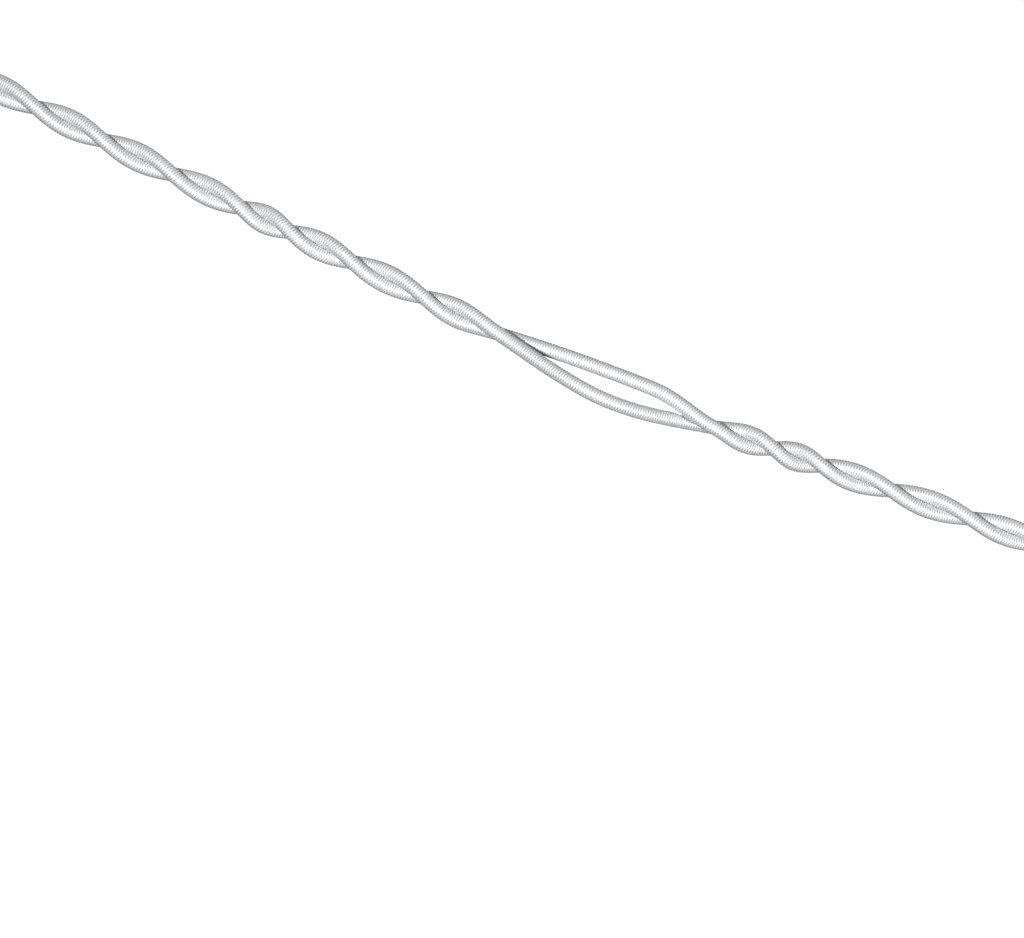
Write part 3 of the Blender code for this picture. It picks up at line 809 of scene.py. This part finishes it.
def arc(centre, radius, start, stop, steps):
    turns = np.radians(np.linspace(start, stop, steps + 1))
    return [(centre[0] + radius * math.cos(t), centre[1] + radius * math.sin(t)) for t in turns]


def held(mesh):
    """An object that holds the mesh while its modifiers run."""
    obj = bpy.data.objects.new(mesh.name, mesh)
    bpy.context.scene.collection.objects.link(obj)
    return obj


def carved(base, *steps):
    """The base mesh after one exact Boolean for each (operation, mesh)."""
    obj = held(base)
    others = [held(mesh) for _, mesh in steps]
    for other, (operation, _) in zip(others, steps):
        cut = obj.modifiers.new(operation, "BOOLEAN")
        cut.solver = "EXACT"
        cut.operation = operation
        cut.object = other
    mesh = baked(obj)
    for other in others:
        bpy.data.objects.remove(other, do_unlink=True)
    return mesh


def cast(mesh, grain=CAST_GRAIN, rounds=6):
    """The mesh with the small fillets of a cast or moulded piece at its edges and joins."""
    obj = held(mesh)
    even = obj.modifiers.new("even", "REMESH")
    even.mode = "VOXEL"
    even.voxel_size = grain
    soft = obj.modifiers.new("soft", "SMOOTH")
    soft.factor = 0.5
    soft.iterations = rounds
    return baked(obj)


def ribbed_tree():
    """Raises ribs, square to the turning, on the outer wall of a turned piece."""
    sizes = [
        ("Ribs", "NodeSocketInt", CAP_RIBS),
        ("From", "NodeSocketFloat", CAP_NOSE + 0.5 * MM),
        ("To", "NodeSocketFloat", CAP_LENGTH - 1.6 * MM),
        ("Above", "NodeSocketFloat", CAP_RADIUS - 0.3 * MM),
        ("Height", "NodeSocketFloat", 0.3 * MM),
    ]
    tree, nodes, given = geometry_tree("ribbed_cap", sizes)
    split = nodes.make("ShaderNodeSeparateXYZ", None, {0: nodes.value("GeometryNodeInputPosition")})
    x, y, z = (Value(nodes, socket) for socket in split.outputs)

    def eased(value, low, high):
        settings = {"interpolation_type": "SMOOTHSTEP"}
        return nodes.value("ShaderNodeMapRange", settings, {0: value, 1: low, 2: high, 3: 0.0, 4: 1.0})

    rib = eased((z.math("ARCTAN2", y) * given["Ribs"]).math("COSINE"), -0.1, 0.75)
    window = eased(x - given["From"], 0.0, 1.2 * MM) * eased(given["To"] - x, 0.0, 1.2 * MM)
    outer = (y * y + z * z).math("SQRT").math("GREATER_THAN", given["Above"])
    height = rib * window * outer * given["Height"]
    normal = nodes.value("GeometryNodeInputNormal")
    offset = nodes.value("ShaderNodeVectorMath", {"operation": "SCALE"}, {0: normal, "Scale": height})
    raised = nodes.value("GeometryNodeSetPosition", None, {"Geometry": given["Geometry"], "Offset": offset})
    finish_tree(nodes, raised, NYLON)
    return tree


def coil_tree():
    """A coil spring along X, from the origin."""
    sizes = [
        ("Turns", "NodeSocketFloat", SPRING_TURNS),
        ("Radius", "NodeSocketFloat", SPRING_RADIUS),
        ("Length", "NodeSocketFloat", SPRING_LENGTH - SPRING_WIRE),
        ("Wire", "NodeSocketFloat", SPRING_WIRE),
    ]
    tree, nodes, given = geometry_tree("coil_spring", sizes)
    coil = {
        "Resolution": 32,
        "Rotations": given["Turns"],
        "Start Radius": given["Radius"],
        "End Radius": given["Radius"],
        "Height": given["Length"],
    }
    spiral = nodes.value("GeometryNodeCurveSpiral", None, coil)
    circle = {"Resolution": 12, "Radius": given["Wire"] / 2}
    wire = nodes.value("GeometryNodeCurvePrimitiveCircle", None, circle)
    inputs = {"Curve": spiral, "Profile Curve": wire, "Fill Caps": True}
    spring = nodes.value("GeometryNodeCurveToMesh", None, inputs)
    inputs = {"Geometry": spring, "Rotation": (0, math.pi / 2, 0)}
    laid = nodes.value("GeometryNodeTransform", None, inputs)
    finish_tree(nodes, laid, STEEL)
    return tree


# ---------------------------------------------------------------- the end pieces


def cap_mesh():
    """A shell with a rounded nose round the cords' mouth, ribbed behind it, open where the plug goes in."""
    rise = CAP_RADIUS - MOUTH_RADIUS - MOUTH_WALL
    nose = [
        (MOUTH_RADIUS + MOUTH_WALL + rise * math.sin(turn), CAP_NOSE * (1 - math.cos(turn)))
        for turn in np.radians(np.arange(90, -1, -5))
    ]
    throat = MOUTH_RADIUS + 0.5 * MM
    profile = [
        (PLUG_BORE, CAP_LENGTH),
        (CAP_RADIUS, CAP_LENGTH),
        *nose[:-1],
        (MOUTH_RADIUS + MOUTH_WALL, 0.0),
        (throat, 0.0),
        (MOUTH_RADIUS, 0.5 * MM),
        (MOUTH_RADIUS, CRIMP_FROM - 2.4 * MM),
        (CAP_CAVITY, CRIMP_FROM - 0.7 * MM),
        (CAP_CAVITY, PLUG_FROM - GAP),
        (PLUG_BORE, PLUG_FROM - GAP),
    ]
    turned = revolved("cap", spaced(softened(profile, 0.45 * MM), 0.5 * MM), CAP_RIBS * 12)
    return grown(held(turned), ribbed_tree(), {"Ribs": CAP_RIBS})


def plug_mesh():
    """A sleeve in the cap's open end, with a flange that has a shallow groove in its face."""
    outer = PLUG_BORE - GAP
    bore = STEM_RADIUS + GAP
    flange = CAP_RADIUS - 0.1 * MM
    seat = CAP_LENGTH + GAP
    profile = [
        (bore, PLUG_TO - 0.5 * MM),
        (bore + 0.5 * MM, PLUG_TO),
        (COLLAR_RADIUS + 0.5 * MM, PLUG_TO),
        (COLLAR_RADIUS + 0.9 * MM, PLUG_TO - 0.3 * MM),
        (flange - 1.2 * MM, PLUG_TO - 0.3 * MM),
        (flange - 0.8 * MM, PLUG_TO),
        (flange, PLUG_TO),
        (flange, seat),
        (outer, seat),
        (outer, PLUG_FROM),
        (bore, PLUG_FROM),
    ]
    return revolved("cap_plug", softened(profile, 0.35 * MM))


def crimp_mesh():
    """An oval sleeve round both cords, with two pressed grooves."""
    inner = CORD_DIAMETER / 2 + GAP
    half = arc((LAY_RADIUS, 0), 1.0, -90, 90, 20)
    spread = [(LAY_RADIUS, x - LAY_RADIUS, z) for x, z in half]
    spread += [(-LAY_RADIUS, LAY_RADIUS - x, -z) for x, z in half]
    loops = []
    for way, wall in ((1, inner + CRIMP_WALL), (-1, inner)):
        for t in np.linspace(0, 1, 61)[::way]:
            grooves = math.exp(-(((t - 0.3) / 0.07) ** 2)) + math.exp(-(((t - 0.7) / 0.07) ** 2))
            bevel = 0.25 * MM * max(0.0, 1 - min(t, 1 - t) * CRIMP_LENGTH / (0.3 * MM)) ** 2
            size = wall - CRIMP_DENT * grooves - way * bevel
            out = CRIMP_FROM + t * CRIMP_LENGTH
            loops.append([(out, y + dy * size, dz * size) for y, dy, dz in spread])
    verts = [point for loop in loops for point in loop]
    return made_mesh("crimp", verts, ring_faces(len(loops), len(spread), True))


def hook_mesh():
    """Stem, collar, shank, bar and both tongues in one casting."""
    stem = revolved("stem", softened([
        (0.0, NEAR_ARC - HOOK_HALF_WIDTH),
        (BAR_RADIUS - 0.3 * MM, NEAR_ARC - HOOK_HALF_WIDTH),
        (BAR_RADIUS + 0.5 * MM, COLLAR_TO),
        (COLLAR_RADIUS, COLLAR_TO),
        (COLLAR_RADIUS, COLLAR_FROM),
        (STEM_RADIUS, COLLAR_FROM),
        (STEM_RADIUS, STEM_HEAD_TO),
        (STEM_HEAD_RADIUS, STEM_HEAD_TO),
        (STEM_HEAD_RADIUS, STEM_HEAD_FROM),
        (0.0, STEM_HEAD_FROM),
    ], 0.4 * MM), 64)  # fmt: skip
    far = arc((FAR_ARC, 0), HOOK_HALF_WIDTH, 90, -90, 48)
    near = arc((NEAR_ARC, 0), HOOK_HALF_WIDTH, 270, 90, 48)
    bar = swept("bar", far + near, BAR_RADIUS)
    back = PIN_AT - GATE_END - GAP - 1.2 * MM
    low, high = HOOK_HALF_WIDTH - TONGUE_END, HOOK_HALF_WIDTH + TONGUE_END
    hinge = arc((PIN_AT, HOOK_HALF_WIDTH), TONGUE_END, -90, 90, 24)
    lug = slab("lug", [(back, low), *hinge, (back, high)], TONGUE)
    nose_top = math.sqrt(BAR_RADIUS**2 - (TONGUE / 2) ** 2) - 0.06 * MM
    nose = block(
        "nose",
        (PIN_AT + GATE_LENGTH - TONGUE_REACH, -TONGUE / 2, HOOK_HALF_WIDTH - TONGUE_BELOW),
        (FAR_ARC + 0.6 * MM, TONGUE / 2, HOOK_HALF_WIDTH + nose_top),
    )
    hole = crosswise("hole", PIN_RADIUS + PIN_GAP, 4 * TONGUE, PIN_AT, HOOK_HALF_WIDTH)
    return cast(carved(bar, ("UNION", stem), ("UNION", lug), ("UNION", nose), ("DIFFERENCE", hole)))


def gate_mesh():
    """A round bar about its pin, slotted for a tongue at each end and bored for its spring."""
    top = HOOK_HALF_WIDTH
    outline = [
        *arc((PIN_AT, top), GATE_END, 90, 270, 32),
        (PIN_AT + GATE_LENGTH, top - GATE_END),
        (PIN_AT + GATE_LENGTH, top + GATE_END),
    ]
    gate = slab("gate", outline, 4 * GATE_RADIUS)
    span = [(PIN_AT - 2 * GATE_END, top), (PIN_AT + 2 * GATE_LENGTH, top)]
    half_slot = TONGUE / 2 + GAP
    slot_to = PIN_AT + TONGUE_END + GAP
    high = 2 * GATE_RADIUS
    hinge_slot = block(
        "hinge_slot",
        (PIN_AT - high, -half_slot, top - high),
        (slot_to, half_slot, top + high),
    )
    nose_slot = block(
        "nose_slot",
        (PIN_AT + GATE_LENGTH - TONGUE_REACH - 0.4 * MM, -half_slot, top - TONGUE_BELOW - GAP),
        (PIN_AT + GATE_LENGTH + high, half_slot, top + high),
    )
    bore_radius = SPRING_RADIUS + SPRING_WIRE / 2 + GAP
    bore = swept("bore", [(PIN_AT, top), (slot_to + GAP + SPRING_LENGTH, top)], bore_radius)
    hole = crosswise("hole", PIN_RADIUS + PIN_GAP, 4 * GATE_RADIUS, PIN_AT, top)
    steps = [("INTERSECT", swept("round", span, GATE_RADIUS, 48))]
    steps += [("DIFFERENCE", cutter) for cutter in (hinge_slot, nose_slot, bore, hole)]
    return cast(carved(gate, *steps), GATE_GRAIN, 4)


def pin_mesh():
    """A rivet with a low dome at each end."""
    half = GATE_RADIUS + 0.1 * MM
    edge = half - 0.12 * MM
    profile = [(0.0, half), (PIN_RADIUS, edge), (PIN_RADIUS, -edge), (0.0, -half)]
    mesh = revolved("pin", softened(profile, 0.2 * MM), 48)
    mesh.transform(Matrix.Translation((PIN_AT, 0, HOOK_HALF_WIDTH)) @ Matrix.Rotation(math.pi / 2, 4, "Z"))
    return mesh


def spring_mesh():
    mesh = grown(held(bpy.data.meshes.new("spring")), coil_tree(), {"Turns": SPRING_TURNS})
    starts = PIN_AT + TONGUE_END + GAP + SPRING_WIRE / 2
    mesh.transform(Matrix.Translation((starts, 0, HOOK_HALF_WIDTH)))
    return mesh


def eye_mesh():
    """A ring round the hook's bow, and a hollow button that snaps over the cup's head, in one moulding."""
    lip = CUP_NECK_RADIUS + 0.4 * MM
    hollow = CUP_HEAD_RADIUS + 0.4 * MM
    button = revolved("button", softened([
        (0.0, EYE_HOLLOW_FROM),
        (hollow, EYE_HOLLOW_FROM),
        (hollow, EYE_LIP_FROM),
        (lip, EYE_LIP_FROM),
        (lip, EYE_TO),
        (EYE_RADIUS, EYE_TO),
        (EYE_RADIUS, EYE_FROM + 2.2 * MM),
        (EYE_RADIUS - 1.1 * MM, EYE_FROM + 0.7 * MM),
        (EYE_RADIUS - 3.0 * MM, EYE_FROM),
        (0.0, EYE_FROM),
    ], 0.35 * MM), 96)  # fmt: skip
    around = TURN * np.arange(28) / 28
    tube = [(RING_RADIUS + RING_TUBE * math.cos(t), RING_TUBE * math.sin(t)) for t in around]
    ring = revolved("ring", tube, 72)
    ring.transform(Matrix.Translation((RING_AT, 0, 0)) @ Matrix.Rotation(math.pi / 2, 4, "Y"))
    neck_from = RING_AT + RING_RADIUS - 0.2 * MM
    neck_to = EYE_FROM + 0.6 * MM
    taper = [(0.0, neck_from), (2.3 * MM, neck_from), (2.6 * MM, neck_to), (0.0, neck_to)]
    neck = revolved("neck", taper, 48)
    return cast(carved(button, ("UNION", neck), ("UNION", ring)))


def cup_mesh():
    """Head, neck and a shallow dish with a thin lip where it meets the wall."""
    flat = CUP_RADIUS - CUP_RIM
    dish = [(share * CUP_RADIUS, WALL_AT - depth * CUP_DEPTH) for share, depth in DISH_BACK]
    profile = [
        (0.0, WALL_AT - CUP_HOLLOW),
        (0.45 * flat, WALL_AT - 0.82 * CUP_HOLLOW),
        (0.82 * flat, WALL_AT - 0.27 * CUP_HOLLOW),
        (flat, WALL_AT),
        (CUP_RADIUS, WALL_AT),
        (CUP_RADIUS, WALL_AT - 0.35 * MM),
        *dish,
        (CUP_NECK_RADIUS, CUP_BACK - 0.1 * MM),
        (CUP_NECK_RADIUS, CUP_HEAD_TO),
        (CUP_HEAD_RADIUS, CUP_HEAD_TO),
        (CUP_HEAD_RADIUS, CUP_HEAD_FROM + 0.8 * MM),
        (CUP_HEAD_RADIUS - 1.2 * MM, CUP_HEAD_FROM),
        (0.0, CUP_HEAD_FROM),
    ]
    return revolved("suction_cup", softened(profile, 0.5 * MM))


def make_ends():
    """Every end piece, made once for the right end and turned half round for the left."""
    plan = [
        ("cap", cap_mesh(), NYLON, "end", "nylon"),
        ("cap_plug", plug_mesh(), NYLON, "end", "nylon"),
        ("crimp", crimp_mesh(), ALUMINIUM, "end", "crimp"),
        ("hook", hook_mesh(), NICKEL, "hook", "hook"),
        ("gate", gate_mesh(), NICKEL, "gate", "hook"),
        ("gate_pin", pin_mesh(), STEEL, "hook", "steel"),
        ("gate_spring", spring_mesh(), STEEL, "gate", "steel"),
        ("cup_eye", eye_mesh(), NYLON, "cup", "nylon"),
        ("suction_cup", cup_mesh(), VINYL, "cup", "vinyl"),
    ]
    for node, mesh, mat, body, slot in plan:
        mesh.transform(Matrix.Translation((HALF_LINE, 0, 0)))
        other = mesh.copy()
        other.transform(Matrix.Rotation(math.pi, 4, "Z"))
        for side, shape in (("right", mesh), ("left", other)):
            piece = shown(f"{side}_{node}_shape", shape, mat)
            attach(piece, f"{side}_{body}")
            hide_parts(f"{side}_{node}")


BRAIDING = braid_tree()
make_cord("a", 1, BRAIDING)
make_cord("b", -1, BRAIDING)
make_ends()
make_stage()
